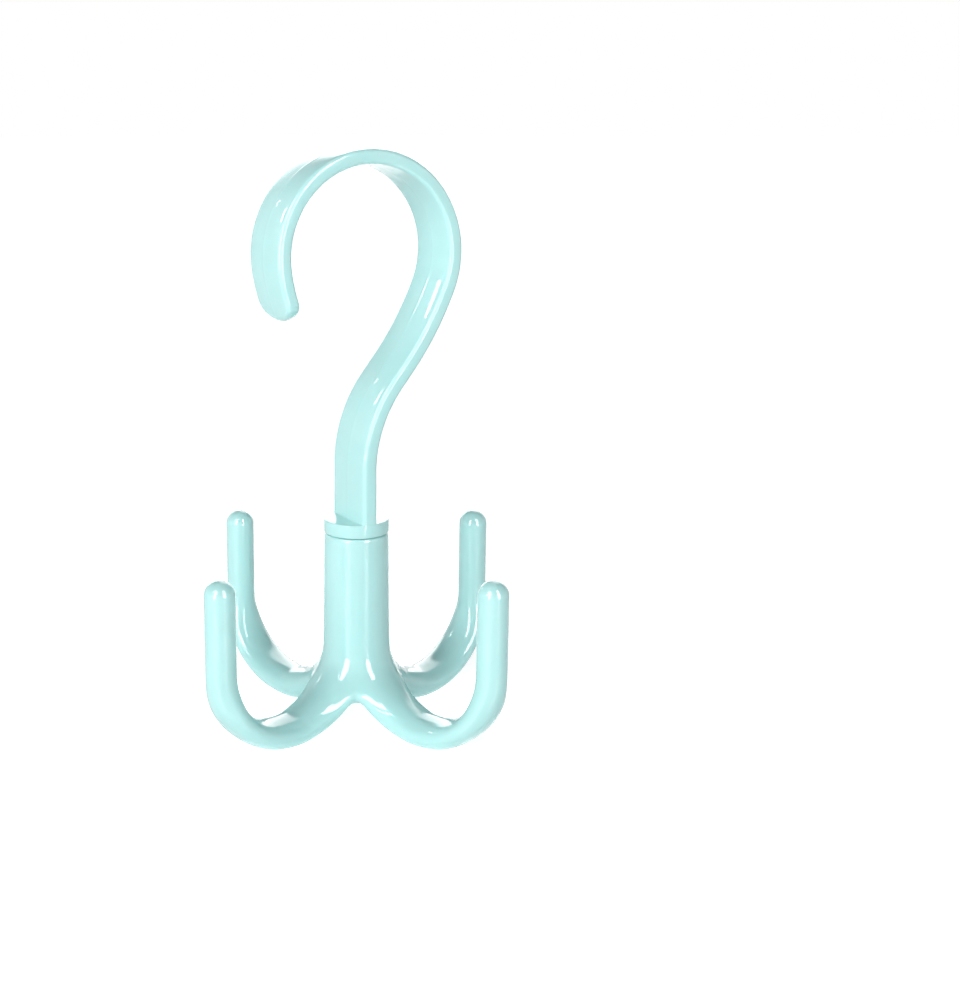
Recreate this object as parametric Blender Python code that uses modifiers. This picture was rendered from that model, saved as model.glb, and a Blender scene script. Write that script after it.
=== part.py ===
"""Swivel hanger with four claws: a flat-band hook turns on top of a barrel that carries four upturned tines.

Four pieces, all turned or moulded round one upright axis: the hook with its collar and pivot peg, the claw body
that the peg runs through, and the screw and washer that hold the peg in from below.
Metres, +Z up. The origin is on the swivel axis, level with the lowest points of the claws.
The four claws stand on the diagonals, and the hook is swivelled as in the photograph.
"""

from math import cos, pi, radians, sin, sqrt, tau

import bmesh
import bpy
import numpy as np
from mathutils import Matrix, Vector

# Claw body: barrel
BARREL_TOP_DIAMETER = 0.0168
BARREL_FOOT_DIAMETER = 0.0176
BARREL_TOP_Z = 0.0517
FLARE_TOP_Z = 0.0199
FOOT_Z = 0.0067
RIM_ROUNDING_IN = 0.0010
RIM_ROUNDING_DOWN = 0.0016
COUNTERBORE_DIAMETER = 0.0130
COUNTERBORE_DEPTH = 0.0090
COUNTERBORE_LIP = 0.0008
BORE_CHAMFER = 0.0005

# Claw body: the four arms and their tines
CLAW_COUNT = 4
TINE_DIAMETER = 0.0077
TINE_REACH = 0.0466
TINE_HEIGHT = 0.0485
BEND_REACH = 0.0250
BEND_HEIGHT = 0.0198
ARM_WIDTH = 0.0123
ARM_THICKNESS = 0.0078
BEND_THINNING = 0.0007
BEND_WIDTH_POWER = 3.0
ROOT_SPREAD = 0.0034
ROOT_SPREAD_POWER = 1.2
UPPER_REACH_POWER = 1.23
UPPER_DROP_POWER = 0.86
UNDERSIDE_POWER = 2.3
CROTCH_REACH = 0.0101
CROTCH_THICKNESS = 0.0034
CROTCH_RISE = 0.0025

# Hook: collar and pivot peg
COLLAR_DIAMETER = 0.0169
COLLAR_THICKNESS = 0.0035
COLLAR_EDGE = 0.0003
PEG_DIAMETER = 0.0090
PEG_CHAMFER = 0.0006
PILOT_DEPTH = 0.0130

# Hook: flat band
BAND_WIDTH = 0.0167
BAND_THICKNESS = 0.0039
STEM_THICKNESS = 0.0043
BAND_CORNER = 0.0010
BAND_CROWN = 0.00012
STEM_OFFSET = 0.0004
STEM_LENGTH = 0.0135
STEM_BEND_RADIUS = 0.0350
STEM_LEAN = radians(38.7)
STEM_SLOPE_LENGTH = 0.0058
SHOULDER_RADIUS = 0.0818
SHOULDER_LEAN = radians(23.0)
LOOP_RADIUS = 0.0240
LOOP_PAST_SIDE = radians(8.0)
END_RADIUS = 0.0450
END_LENGTH = 0.0124
TIP_LENGTH = 0.0050
TIP_EDGE = 0.0010
TIP_FLAT_SHARE = 0.35
SWIVEL_AT_REST = radians(28.7)

# Screw and washer
SCREW_DIAMETER = 0.0035
SCREW_CORE_DIAMETER = 0.0026
SCREW_LENGTH = 0.0120
SCREW_PITCH = 0.0013
SCREW_POINT = 0.0012
SCREW_HEAD_DIAMETER = 0.0070
SCREW_HEAD_HEIGHT = 0.0024
SCREW_HEAD_EDGE = 0.0009
THREAD_END_SINK_SHARE = 1.2
RECESS_LENGTH = 0.0042
RECESS_WIDTH = 0.0009
RECESS_DEPTH = 0.0013
WASHER_DIAMETER = 0.0120
WASHER_THICKNESS = 0.0010
WASHER_HOLE_CLEARANCE = 0.0004
WASHER_EDGE = 0.00015

# Clearances
SWIVEL_CLEARANCE = 0.0003
SEAT_GAP = 0.0003
CUT_OVERRUN = 0.0010

# How finely the shapes are divided
LINES_PER_CLAW = 6
ARM_SIDES = 10
ROOT_STEPS = 4
ROOT_START = radians(30)
BEND_STEPS = 6
BARREL_RING_SHARES = (0.34, 0.67, 1.0)
TINE_RING_SHARES = (0.35, 0.66, 0.85, 0.94, 1.0)
DOME_RING_TURNS = (radians(25), radians(50), radians(72))
TURN_STEPS = 48
CORNER_STEPS = 3
BAND_STEP = 0.0019
TIP_STEPS = 6
SKIN_LEVELS = 1
THREAD_POINTS_PER_TURN = 10
WELD_DISTANCE = 0.000001
MERGE_DISTANCE = 0.00005

# Places that follow from the sizes above
BORE_DIAMETER = PEG_DIAMETER + 2 * SWIVEL_CLEARANCE
SHOULDER_Z = FOOT_Z + COUNTERBORE_DEPTH
COLLAR_BOTTOM_Z = BARREL_TOP_Z + SEAT_GAP
COLLAR_TOP_Z = COLLAR_BOTTOM_Z + COLLAR_THICKNESS
PEG_END_Z = SHOULDER_Z
WASHER_TOP_Z = PEG_END_Z - SEAT_GAP
HEAD_TOP_Z = WASHER_TOP_Z - WASHER_THICKNESS - SEAT_GAP
SCREW_TIP_Z = HEAD_TOP_Z + SCREW_LENGTH
PILOT_DIAMETER = SCREW_DIAMETER + 2 * SWIVEL_CLEARANCE
TINE_RADIUS = TINE_DIAMETER / 2

MINT = (0.53, 0.86, 0.83, 1.0)
ZINC = (0.62, 0.64, 0.66, 1.0)


def new_scene_collections():
    """Clears the scene and returns the collection of the parts and that of the cutters."""
    for old in list(bpy.data.objects):
        bpy.data.objects.remove(old)
    made = []
    for name in ("swivel_claw_hanger", "cutters"):
        collection = bpy.data.collections.new(name)
        bpy.context.scene.collection.children.link(collection)
        made.append(collection)
    return made


def plain_material(name, colour, roughness, metallic):
    """A Principled material of one colour."""
    material = bpy.data.materials.new(name)
    material.use_nodes = True
    shader = material.node_tree.nodes["Principled BSDF"]
    shader.inputs["Base Color"].default_value = colour
    shader.inputs["Roughness"].default_value = roughness
    shader.inputs["Metallic"].default_value = metallic
    return material


def object_from(name, cage, collection, material=None):
    """A mesh object made from a bmesh, which is freed."""
    mesh = bpy.data.meshes.new(name)
    cage.to_mesh(mesh)
    cage.free()
    made = bpy.data.objects.new(name, mesh)
    collection.objects.link(made)
    if material:
        mesh.materials.append(material)
    return made


def as_cutter(helper):
    """Marks an object as a helper that another one is cut or joined with."""
    helper.hide_render = True
    helper.display_type = "WIRE"
    return helper


def turned(name, profile, collection, material=None):
    """A solid of revolution about Z. The profile is (radius, z) points, down the outer side from top to bottom."""
    outline = bmesh.new()
    points = [outline.verts.new((radius, 0, z)) for radius, z in profile]
    for first, second in zip(points, points[1:]):
        outline.edges.new((first, second))
    made = object_from(name, outline, collection, material)
    screw = made.modifiers.new("turn", "SCREW")
    screw.axis = "Z"
    screw.steps = screw.render_steps = TURN_STEPS
    screw.use_merge_vertices = True
    screw.merge_threshold = MERGE_DISTANCE
    screw.use_smooth_shade = True
    return made


def boolean(target, other, operation):
    """Adds an exact Boolean of another mesh object."""
    cut = target.modifiers.new(operation.lower(), "BOOLEAN")
    cut.operation = operation
    cut.solver = "EXACT"
    cut.object = other


def smooth(made):
    """Shades an object smooth, with its sharp edges kept."""
    made.data.shade_smooth()
    made.data.set_sharp_from_angle(angle=radians(35))


# The claw body's skin


def round_gain(sides):
    """How far out the points of a regular cage ring lie from the smooth circle that it makes."""
    return 3 / (2 + cos(tau / sides))


def controls_through(points):
    """Cage points for a smooth line that passes through the points given. Its ends stay where they are."""
    count = len(points)
    matrix = np.eye(count)
    for row in range(1, count - 1):
        matrix[row, row - 1 : row + 2] = (1 / 6, 4 / 6, 1 / 6)
    return [Vector(row) for row in np.linalg.solve(matrix, np.array([tuple(p) for p in points]))]


def barrel_rings():
    """(radius, z, sharp) of the rings from the counterbore's mouth, up the bore, over the rim and down to the flare."""
    bore = BORE_DIAMETER / 2
    mouth = COUNTERBORE_DIAMETER / 2
    top = BARREL_TOP_DIAMETER / 2
    foot = BARREL_FOOT_DIAMETER / 2
    below_rim = BARREL_TOP_Z - RIM_ROUNDING_DOWN
    rings = [
        (mouth, FOOT_Z, True),
        (mouth, SHOULDER_Z, True),
        (bore, SHOULDER_Z, True),
        (bore, BARREL_TOP_Z - BORE_CHAMFER, True),
        (bore + BORE_CHAMFER, BARREL_TOP_Z, True),
        (top - RIM_ROUNDING_IN, BARREL_TOP_Z, False),
        (top, BARREL_TOP_Z, False),
        (top, below_rim, False),
    ]
    for share in BARREL_RING_SHARES:
        rings.append((top + (foot - top) * share, below_rim + (FLARE_TOP_Z - below_rim) * share, False))
    return rings


def root_section(turn):
    """(upper point, lower point, half width) of the arm near the barrel. The turn runs from the barrel to the bend."""
    upper_run = BEND_REACH - BARREL_FOOT_DIAMETER / 2
    upper_drop = FLARE_TOP_Z - ARM_THICKNESS
    lower_run = BEND_REACH - COUNTERBORE_DIAMETER / 2 - COUNTERBORE_LIP
    upper = (
        BEND_REACH - upper_run * cos(turn) ** UPPER_REACH_POWER,
        ARM_THICKNESS + upper_drop * (1 - sin(turn)) ** UPPER_DROP_POWER,
    )
    lower = (BEND_REACH - lower_run * cos(turn), FOOT_Z * cos(turn) ** UNDERSIDE_POWER)
    return upper, lower, ARM_WIDTH / 2 + ROOT_SPREAD * (1 - sin(turn)) ** ROOT_SPREAD_POWER


def bend_section(share):
    """(upper point, lower point, half width) of the arm in its bend, from its lowest point to the straight tine."""
    turn = pi / 2 * share
    run = TINE_REACH - BEND_REACH
    middle = Vector((BEND_REACH + run * sin(turn), ARM_THICKNESS / 2 + BEND_HEIGHT * (1 - cos(turn))))
    along = Vector((run * cos(turn), BEND_HEIGHT * sin(turn))).normalized()
    upward = Vector((-along.y, along.x))
    thickening = (ARM_THICKNESS / 2 - TINE_RADIUS) * (1 - share) ** 2
    half_thickness = TINE_RADIUS + thickening - BEND_THINNING * sin(pi * share)
    half_width = TINE_RADIUS + (ARM_WIDTH / 2 - TINE_RADIUS) * (1 - share**BEND_WIDTH_POWER)
    return middle + upward * half_thickness, middle - upward * half_thickness, half_width


def tine_section(z, radius):
    """(upper point, lower point, half width) of the straight tine or its domed end."""
    return (TINE_REACH - radius, z), (TINE_REACH + radius, z), radius


def arm_sections():
    """The arm's sections in its own plane, from the barrel to the end of the tine."""
    sections = [root_section(ROOT_START + (pi / 2 - ROOT_START) * step / ROOT_STEPS) for step in range(ROOT_STEPS)]
    sections += [bend_section(step / BEND_STEPS) for step in range(BEND_STEPS + 1)]
    bend_top_z = ARM_THICKNESS / 2 + BEND_HEIGHT
    dome_z = TINE_HEIGHT - TINE_RADIUS
    sections += [tine_section(bend_top_z + (dome_z - bend_top_z) * share, TINE_RADIUS) for share in TINE_RING_SHARES]
    for turn in DOME_RING_TURNS:
        sections.append(tine_section(dome_z + TINE_RADIUS * sin(turn), TINE_RADIUS * cos(turn)))
    return sections


def arm_rings(azimuth):
    """The cage rings of one arm. Each ring's points run round from one side of the arm over its upper face."""
    outward = Vector((cos(azimuth), sin(azimuth), 0))
    sideways = Vector((-sin(azimuth), cos(azimuth), 0))
    gain = round_gain(ARM_SIDES)
    lines = []
    for side in range(ARM_SIDES):
        angle = tau * (side + 0.5) / ARM_SIDES
        line = []
        for upper, lower, half_width in arm_sections():
            top = outward * upper[0] + Vector((0, 0, upper[1]))
            bottom = outward * lower[0] + Vector((0, 0, lower[1]))
            middle = (top + bottom) / 2
            line.append(middle + ((top - middle) * sin(angle) - sideways * half_width * cos(angle)) * gain)
        lines.append(controls_through(line))
    return [list(ring) for ring in zip(*lines)]


def flare_point(cage, above, below):
    """A cage point half way round the curve that leaves the barrel upright and sweeps out to the arm."""
    turn = ROOT_START / 2
    outward = (1 - cos(turn)) / (1 - cos(ROOT_START))
    downward = sin(turn) / sin(ROOT_START)
    (x, y, z), (far_x, far_y, far_z) = above.co, below.co
    return cage.verts.new((x + (far_x - x) * outward, y + (far_y - y) * outward, z + (far_z - z) * downward))


def add_quarter(cage, sharp, azimuth):
    """Adds one claw's share of the skin: its sector of the barrel, its arm, and its share of the underside."""
    upper_count = ARM_SIDES // 2
    gain = round_gain(LINES_PER_CLAW * CLAW_COUNT)
    sector = tau / CLAW_COUNT
    azimuths = [azimuth + sector * (line / LINES_PER_CLAW - 0.5) for line in range(LINES_PER_CLAW + 1)]

    def ring(radius, z):
        return [cage.verts.new((radius * gain * cos(a), radius * gain * sin(a), z)) for a in azimuths]

    def strip(first, second):
        for one, two, three, four in zip(first, first[1:], second[1:], second):
            cage.faces.new((one, two, three, four))

    rings = [(ring(radius, z), crease) for radius, z, crease in barrel_rings()]
    for (first, _), (second, _) in zip(rings, rings[1:]):
        strip(first, second)
    for points, crease in rings:
        for one, two in zip(points, points[1:]):
            edge = cage.edges.get((one, two))
            edge[sharp] = 1.0 if crease else 0.0

    lip = ring(COUNTERBORE_DIAMETER / 2 + COUNTERBORE_LIP, FOOT_Z)
    strip(lip, rings[0][0])
    lower_crotch, upper_crotch = (
        [cage.verts.new((CROTCH_REACH * cos(a), CROTCH_REACH * sin(a), z)) for a in (azimuths[0], azimuths[-1])]
        for z in (FOOT_Z + CROTCH_RISE, FOOT_Z + CROTCH_RISE + CROTCH_THICKNESS)
    )
    arm = [[cage.verts.new(point) for point in points] for points in arm_rings(azimuth)]
    root = arm[0]
    upper = [upper_crotch[0], *root[:upper_count], upper_crotch[1]]
    lower = [lower_crotch[0], *reversed(root[upper_count:]), lower_crotch[1]]
    flare = [flare_point(cage, above, below) for above, below in zip(rings[-1][0], upper)]
    strip(rings[-1][0], flare)
    strip(flare, upper)
    strip(lower, lip)
    strip([upper_crotch[0], root[0]], [lower_crotch[0], root[-1]])
    strip([root[upper_count - 1], upper_crotch[1]], [root[upper_count], lower_crotch[1]])
    for first, second in zip(arm, arm[1:]):
        strip(first + first[:1], second + second[:1])
    cage.faces.new(arm[-1])


def claw_body(parts, material):
    """The barrel and its four arms: one coarse cage under Subdivision Surface."""
    cage = bmesh.new()
    sharp = cage.edges.layers.float.new("crease_edge")
    for claw in range(CLAW_COUNT):
        add_quarter(cage, sharp, tau * (claw + 0.5) / CLAW_COUNT)
    bmesh.ops.remove_doubles(cage, verts=cage.verts, dist=WELD_DISTANCE)
    bmesh.ops.recalc_face_normals(cage, faces=cage.faces)
    made = object_from("claw_body", cage, parts, material)
    skin = made.modifiers.new("skin", "SUBSURF")
    skin.levels = skin.render_levels = SKIN_LEVELS
    made.data.shade_smooth()
    return made


# The hook


def band_bends():
    """(length, turn to the right per metre) of each stretch of the band's middle line, from the collar to the tip."""
    return (
        (STEM_LENGTH, 0.0),
        (STEM_BEND_RADIUS * STEM_LEAN, 1 / STEM_BEND_RADIUS),
        (STEM_SLOPE_LENGTH, 0.0),
        (SHOULDER_RADIUS * (STEM_LEAN - SHOULDER_LEAN), -1 / SHOULDER_RADIUS),
        (LOOP_RADIUS * (SHOULDER_LEAN + pi + LOOP_PAST_SIDE), -1 / LOOP_RADIUS),
        (END_LENGTH, -1 / END_RADIUS),
    )


def band_place(distance):
    """(place, direction) on the band's middle line that far above the collar, as (across, z) vectors."""
    place = Vector((-STEM_OFFSET, COLLAR_TOP_Z))
    lean = 0.0
    for length, bend in band_bends():
        step = min(length, distance)
        after = lean + bend * step
        if bend:
            place += Vector((cos(lean) - cos(after), sin(after) - sin(lean))) / bend
        else:
            place += Vector((sin(lean), cos(lean))) * step
        lean = after
        distance -= step
        if distance <= 0:
            break
    return place, Vector((sin(lean), cos(lean)))


def band_outline(half_width, half_thickness, corner):
    """The band's section as (across, along the width) points: round corners, and a slight crown on the wide faces."""
    outline = []
    for quadrant, (side, end) in enumerate(((1, 1), (-1, 1), (-1, -1), (1, -1))):
        for step in range(CORNER_STEPS + 1):
            angle = pi / 2 * (quadrant + step / CORNER_STEPS)
            across = side * (half_thickness - corner) + corner * cos(angle)
            outline.append((across, end * (half_width - corner) + corner * sin(angle)))
        if side != end:
            outline.append((side * (half_thickness + BAND_CROWN), 0))
    return outline


def band_sections():
    """(place, direction, half width, half thickness, corner) of the band's sections, from the collar to the tip."""
    length = sum(length for length, _ in band_bends())
    straight = length - TIP_LENGTH
    count = round(straight / BAND_STEP)
    half = BAND_WIDTH / 2
    sections = [(*band_place(0), half, STEM_THICKNESS / 2, BAND_CORNER)]
    sections[0] = (sections[0][0] - Vector((0, COLLAR_THICKNESS / 2)), *sections[0][1:])
    for index in range(count + 1):
        distance = straight * index / count
        share = min(1.0, 2 * distance / length)
        thickness = STEM_THICKNESS + (BAND_THICKNESS - STEM_THICKNESS) * share
        sections.append((*band_place(distance), half, thickness / 2, BAND_CORNER))
    for index in range(1, TIP_STEPS + 1):
        turn = pi / 2 * index / TIP_STEPS
        distance = straight + TIP_LENGTH * sin(turn)
        edge = max(0.0, TIP_EDGE - (length - distance))
        half_thickness = BAND_THICKNESS / 2 - TIP_EDGE + sqrt(TIP_EDGE**2 - edge**2)
        half_width = max(half * TIP_FLAT_SHARE, half * cos(turn))
        sections.append((*band_place(distance), half_width, half_thickness, min(BAND_CORNER, half_thickness)))
    return sections


def band(collection, material):
    """The flat band: sections lofted along its line, in the hook's own upright plane."""
    loft = bmesh.new()
    rings = []
    for place, direction, half_width, half_thickness, corner in band_sections():
        side = Vector((direction.y, -direction.x))
        ring = []
        for across, along in band_outline(half_width, half_thickness, corner):
            point = place + side * across
            ring.append(loft.verts.new((point.x, -along, point.y)))
        rings.append(ring)
    for first, second in zip(rings, rings[1:]):
        for index, one in enumerate(first):
            after = (index + 1) % len(first)
            loft.faces.new((one, first[after], second[after], second[index]))
    loft.faces.new(rings[0])
    loft.faces.new(rings[-1])
    bmesh.ops.recalc_face_normals(loft, faces=loft.faces)
    return object_from("swivel_hook", loft, collection, material)


def swivel_hook(parts, cutters, material):
    """The hook: band, collar and pivot peg in one moulding, with the screw's pilot hole up the peg."""
    made = band(parts, material)
    peg = PEG_DIAMETER / 2
    collar = COLLAR_DIAMETER / 2
    pilot = PILOT_DIAMETER / 2
    profile = [
        (0, COLLAR_TOP_Z),
        (collar - COLLAR_EDGE, COLLAR_TOP_Z),
        (collar, COLLAR_TOP_Z - COLLAR_EDGE),
        (collar, COLLAR_BOTTOM_Z + COLLAR_EDGE),
        (collar - COLLAR_EDGE, COLLAR_BOTTOM_Z),
        (peg, COLLAR_BOTTOM_Z),
        (peg, PEG_END_Z + PEG_CHAMFER),
        (peg - PEG_CHAMFER, PEG_END_Z),
        (pilot, PEG_END_Z),
        (pilot, PEG_END_Z + PILOT_DEPTH),
        (0, PEG_END_Z + PILOT_DEPTH),
    ]
    boolean(made, as_cutter(turned("collar_and_peg", profile, cutters)), "UNION")
    made.rotation_euler.z = SWIVEL_AT_REST
    smooth(made)
    return made


# The screw and its washer


def washer(parts, material):
    """The flat washer that the peg hangs on."""
    hole = SCREW_DIAMETER / 2 + WASHER_HOLE_CLEARANCE
    rim = WASHER_DIAMETER / 2
    bottom = WASHER_TOP_Z - WASHER_THICKNESS
    profile = [
        (hole, WASHER_TOP_Z),
        (rim - WASHER_EDGE, WASHER_TOP_Z),
        (rim, WASHER_TOP_Z - WASHER_EDGE),
        (rim, bottom + WASHER_EDGE),
        (rim - WASHER_EDGE, bottom),
        (hole, bottom),
        (hole, WASHER_TOP_Z),
    ]
    return turned("retaining_washer", profile, parts, material)


def thread(cutters):
    """The screw's thread: one bead wound up the core, sunk into it at both ends."""
    first_z = HEAD_TOP_Z + SCREW_PITCH
    last_z = SCREW_TIP_Z - SCREW_POINT - SCREW_PITCH / 2
    turns = (last_z - first_z) / SCREW_PITCH
    bead = (SCREW_DIAMETER - SCREW_CORE_DIAMETER) / 2
    count = round(turns * THREAD_POINTS_PER_TURN)
    curve = bpy.data.curves.new("thread", "CURVE")
    curve.dimensions = "3D"
    curve.bevel_depth = bead
    curve.bevel_resolution = 1
    curve.use_fill_caps = True
    spline = curve.splines.new("POLY")
    spline.points.add(count)
    for index, point in enumerate(spline.points):
        turn = tau * turns * index / count
        fade = min(1.0, index / THREAD_POINTS_PER_TURN, (count - index) / THREAD_POINTS_PER_TURN)
        reach = SCREW_CORE_DIAMETER / 2 - bead * THREAD_END_SINK_SHARE * (1 - fade)
        z = first_z + (last_z - first_z) * index / count
        point.co = (reach * cos(turn), reach * sin(turn), z, 1)
    wire = bpy.data.objects.new("thread_curve", curve)
    cutters.objects.link(wire)
    bpy.context.view_layer.update()
    evaluated = wire.evaluated_get(bpy.context.evaluated_depsgraph_get())
    mesh = bpy.data.meshes.new_from_object(evaluated)
    bead_mesh = bmesh.new()
    bead_mesh.from_mesh(mesh)
    bmesh.ops.remove_doubles(bead_mesh, verts=bead_mesh.verts, dist=WELD_DISTANCE)
    bmesh.ops.recalc_face_normals(bead_mesh, faces=bead_mesh.faces)
    made = object_from("thread", bead_mesh, cutters)
    made.matrix_world = wire.matrix_world
    bpy.data.objects.remove(wire)
    return as_cutter(made)


def recess(cutters):
    """The cross slot in the screw's head."""
    made = []
    for turn in (0, pi / 2):
        block = bmesh.new()
        bmesh.ops.create_cube(block, size=1)
        depth = RECESS_DEPTH + CUT_OVERRUN
        bmesh.ops.scale(block, vec=(RECESS_LENGTH, RECESS_WIDTH, depth), verts=block.verts)
        bmesh.ops.rotate(block, matrix=Matrix.Rotation(turn, 3, "Z"), verts=block.verts)
        head_bottom = HEAD_TOP_Z - SCREW_HEAD_HEIGHT
        bmesh.ops.translate(block, vec=(0, 0, head_bottom + RECESS_DEPTH - depth / 2), verts=block.verts)
        made.append(as_cutter(object_from(f"recess_{len(made)}", block, cutters)))
    return made


def screw(parts, cutters, material):
    """The self-tapping pan-head screw, driven up into the peg from below."""
    core = SCREW_CORE_DIAMETER / 2
    head = SCREW_HEAD_DIAMETER / 2
    bottom = HEAD_TOP_Z - SCREW_HEAD_HEIGHT
    profile = [
        (0, SCREW_TIP_Z),
        (core, SCREW_TIP_Z - SCREW_POINT),
        (core, HEAD_TOP_Z),
        (head, HEAD_TOP_Z),
        (head, bottom + SCREW_HEAD_EDGE),
    ]
    for degrees in (30, 60, 90):
        turn = radians(degrees)
        edge = head - SCREW_HEAD_EDGE * (1 - cos(turn))
        profile.append((edge, bottom + SCREW_HEAD_EDGE * (1 - sin(turn))))
    profile.append((0, bottom))
    made = turned("retaining_screw", profile, parts, material)
    boolean(made, thread(cutters), "UNION")
    for slot in recess(cutters):
        boolean(made, slot, "DIFFERENCE")
    return made


def main():
    parts, cutters = new_scene_collections()
    mint = plain_material("mint_plastic", MINT, 0.16, 0.0)
    zinc = plain_material("zinc_steel", ZINC, 0.35, 1.0)
    claw_body(parts, mint)
    swivel_hook(parts, cutters, mint)
    washer(parts, zinc)
    screw(parts, cutters, zinc)


main()
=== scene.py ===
"""Swivel hanger with four claws, dressed for its picture.

Builds the detailed mouldings, the screw and the washer round the CAD frame, gives them their finishes, and
sets a plain pale stage. Metres, +Z up, with the swivel axis at X = Y = 0 and the claws' feet at Z = 0.
"""

from math import atan2, cos, pi, radians, sin, sqrt, tau

import bmesh
import bpy
import numpy as np
from bpy.props import FloatProperty, FloatVectorProperty, IntProperty, PointerProperty
from bpy.types import Operator, Panel, PropertyGroup
from mathutils import Matrix, Vector


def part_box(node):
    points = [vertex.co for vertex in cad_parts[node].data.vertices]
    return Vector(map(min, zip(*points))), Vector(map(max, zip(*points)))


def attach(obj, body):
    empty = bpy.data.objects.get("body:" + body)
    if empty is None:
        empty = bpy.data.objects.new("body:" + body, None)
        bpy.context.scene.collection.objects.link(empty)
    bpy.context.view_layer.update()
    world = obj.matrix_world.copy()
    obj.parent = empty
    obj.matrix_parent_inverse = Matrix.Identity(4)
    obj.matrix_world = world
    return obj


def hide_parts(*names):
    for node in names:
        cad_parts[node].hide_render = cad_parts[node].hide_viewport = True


bl_info = {
    "name": "Swivel Claw Hanger",
    "version": (1, 0, 0),
    "blender": (4, 5, 0),
    "location": "3D Viewport > Sidebar > Claw Hanger",
    "description": "Builds the mouldings, fastener, finishes and stage of a four-claw swivel hanger",
    "category": "Object",
}

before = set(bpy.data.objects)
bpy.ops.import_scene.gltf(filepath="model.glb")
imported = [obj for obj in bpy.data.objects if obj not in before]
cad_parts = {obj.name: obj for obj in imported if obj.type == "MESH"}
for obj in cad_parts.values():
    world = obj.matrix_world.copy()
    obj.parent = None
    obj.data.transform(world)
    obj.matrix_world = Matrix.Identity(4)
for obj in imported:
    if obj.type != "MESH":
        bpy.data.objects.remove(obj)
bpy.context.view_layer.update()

CLAW_NODE, HOOK_NODE = "claw_body", "swivel_hook"
WASHER_NODE, SCREW_NODE = "retaining_washer", "retaining_screw"
NODE_BOXES = {name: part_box(name) for name in (CLAW_NODE, HOOK_NODE, WASHER_NODE, SCREW_NODE)}
CLAWS_BODY, HOOK_BODY = "claws", "hook"
WELD_DISTANCE = 1e-6


# Settings in the sidebar


def length(name, description, default):
    """A length that the sidebar shows in the scene's units."""
    return FloatProperty(name=name, description=description, default=default, unit="LENGTH", precision=5)


def share(name, description, default):
    """A plain number."""
    return FloatProperty(name=name, description=description, default=default, precision=3)


def angle(name, description, default):
    """An angle, given in degrees."""
    return FloatProperty(name=name, description=description, default=radians(default), unit="ROTATION")


def count(name, description, default):
    """A whole number."""
    return IntProperty(name=name, description=description, default=default, min=1)


def colour(name, description, default):
    """An opaque colour."""
    return FloatVectorProperty(
        name=name, description=description, default=(*default, 1.0), size=4, subtype="COLOR"
    )


class HANGER_PG_claws(PropertyGroup):
    """Sizes of the barrel and its four arms."""

    barrel_top_diameter: length("Barrel top", "Diameter of the barrel below its rim", 0.0168)
    barrel_foot_diameter: length("Barrel foot", "Diameter of the barrel where it starts to flare", 0.0176)
    barrel_top_z: length("Barrel height", "Height of the barrel's top", NODE_BOXES[CLAW_NODE][1].z)
    flare_top_z: length("Flare top", "Height where the barrel starts to sweep out into the arms", 0.0199)
    foot_z: length("Underside", "Height of the rim round the counterbore", 0.0067)
    rim_rounding_in: length("Rim rounding in", "How far in the rim's rounding reaches", 0.0010)
    rim_rounding_down: length("Rim rounding down", "How far down the rim's rounding reaches", 0.0016)
    bore_diameter: length("Bore", "Diameter of the bore that the peg turns in", 0.0096)
    bore_chamfer: length("Bore chamfer", "Chamfer at the bore's top", 0.0005)
    counterbore_diameter: length("Counterbore", "Diameter of the space for washer and screw head", 0.0130)
    counterbore_depth: length("Counterbore depth", "Depth of that space", 0.0090)
    counterbore_lip: length("Counterbore lip", "Flat rim round the counterbore's mouth", 0.0008)
    tine_diameter: length("Tine", "Diameter of the upright tines", 0.0077)
    tine_reach: length("Tine reach", "From the swivel axis to the middle of a tine", 0.0466)
    tine_height: length("Tine height", "Height of the tines' round ends", 0.0487)
    bend_reach: length("Bend reach", "From the swivel axis to an arm's lowest point", 0.0250)
    bend_height: length("Bend height", "Rise of the arm's middle line up to the tine", 0.0198)
    arm_width: length("Arm width", "Width of an arm at its lowest point", 0.0123)
    arm_thickness: length("Arm thickness", "Thickness of an arm at its lowest point", 0.0078)
    bend_thinning: length("Bend thinning", "How much the bend thins at its middle", 0.0007)
    root_spread: length("Root spread", "How much an arm widens at the barrel, on each side", 0.0034)
    crotch_reach: length("Crotch reach", "From the swivel axis to the upper guide between arms", 0.0125)
    crotch_undercut: length("Crotch undercut", "How much nearer the axis the lower guide lies", 0.0009)
    crotch_thickness: length("Crotch thickness", "Height between the two guides", 0.0016)
    crotch_rise: length("Crotch rise", "How far the lower guide lies above the underside", 0.0033)
    skin_levels: count("Skin levels", "How many times the skin is subdivided", 3)


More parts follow.
